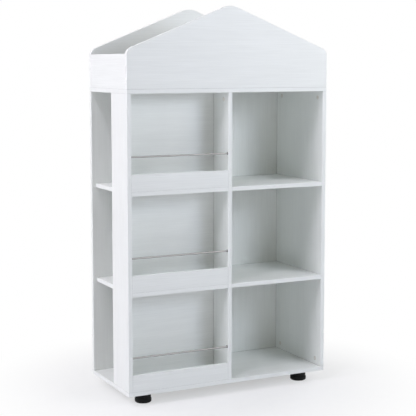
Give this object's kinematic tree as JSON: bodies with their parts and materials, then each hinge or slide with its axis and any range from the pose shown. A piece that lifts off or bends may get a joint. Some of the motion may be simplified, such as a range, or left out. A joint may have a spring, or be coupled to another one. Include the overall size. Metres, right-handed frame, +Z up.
{
  "type": "house shaped bookcase",
  "caption": "White children's bookcase with a house shaped roof tray, open bays at the front, shallow book bays with lips and rails, side niches and round black feet.",
  "frame": {"origin": "on the floor, at the middle of the body's footprint", "axes": "+Z up, -Y out of the front, +X to the right seen from the front"},
  "size_m": [0.8, 0.35, 1.4],
  "materials": {
    "white_board": "white melamine face with a fine embossed grain, satin",
    "rail_steel": "drawn rod, satin nickel plated",
    "socket_black": "moulded, matte",
    "foot_black": "moulded, fine matte texture",
    "cam_zinc": "die cast zinc, tumbled",
    "plated_steel": "zinc plated",
    "beech": "turned beech, bare"
  },
  "bodies": {
    "root": {"bottom_board": "white_board", "top_board": "white_board", "left_side_panel": "white_board", "middle_divider": "white_board", "right_side_panel": "white_board", "back_panel": "white_board", "book_partition": "white_board", "book_shelf_lower": "white_board", "book_shelf_upper": "white_board", "side_shelf_lower": "white_board", "side_shelf_upper": "white_board", "cube_shelf_lower": "white_board", "cube_shelf_upper": "white_board", "book_lip_lower": "white_board", "book_lip_middle": "white_board", "book_lip_upper": "white_board", "book_rail_lower": "rail_steel", "book_rail_middle": "rail_steel", "book_rail_upper": "rail_steel", "rail_sockets": "socket_black", "front_gable": "white_board", "back_gable": "white_board", "roof_left_rail": "white_board", "roof_right_rail": "white_board", "front_left_foot": "foot_black", "front_right_foot": "foot_black", "back_left_foot": "foot_black", "back_right_foot": "foot_black", "foot_screws": "plated_steel", "cam_locks": "cam_zinc", "cam_bolts": "plated_steel", "divider_bolts": "plated_steel", "dowels": "beech", "back_screws": "plated_steel"}
  },
  "joints": []
}
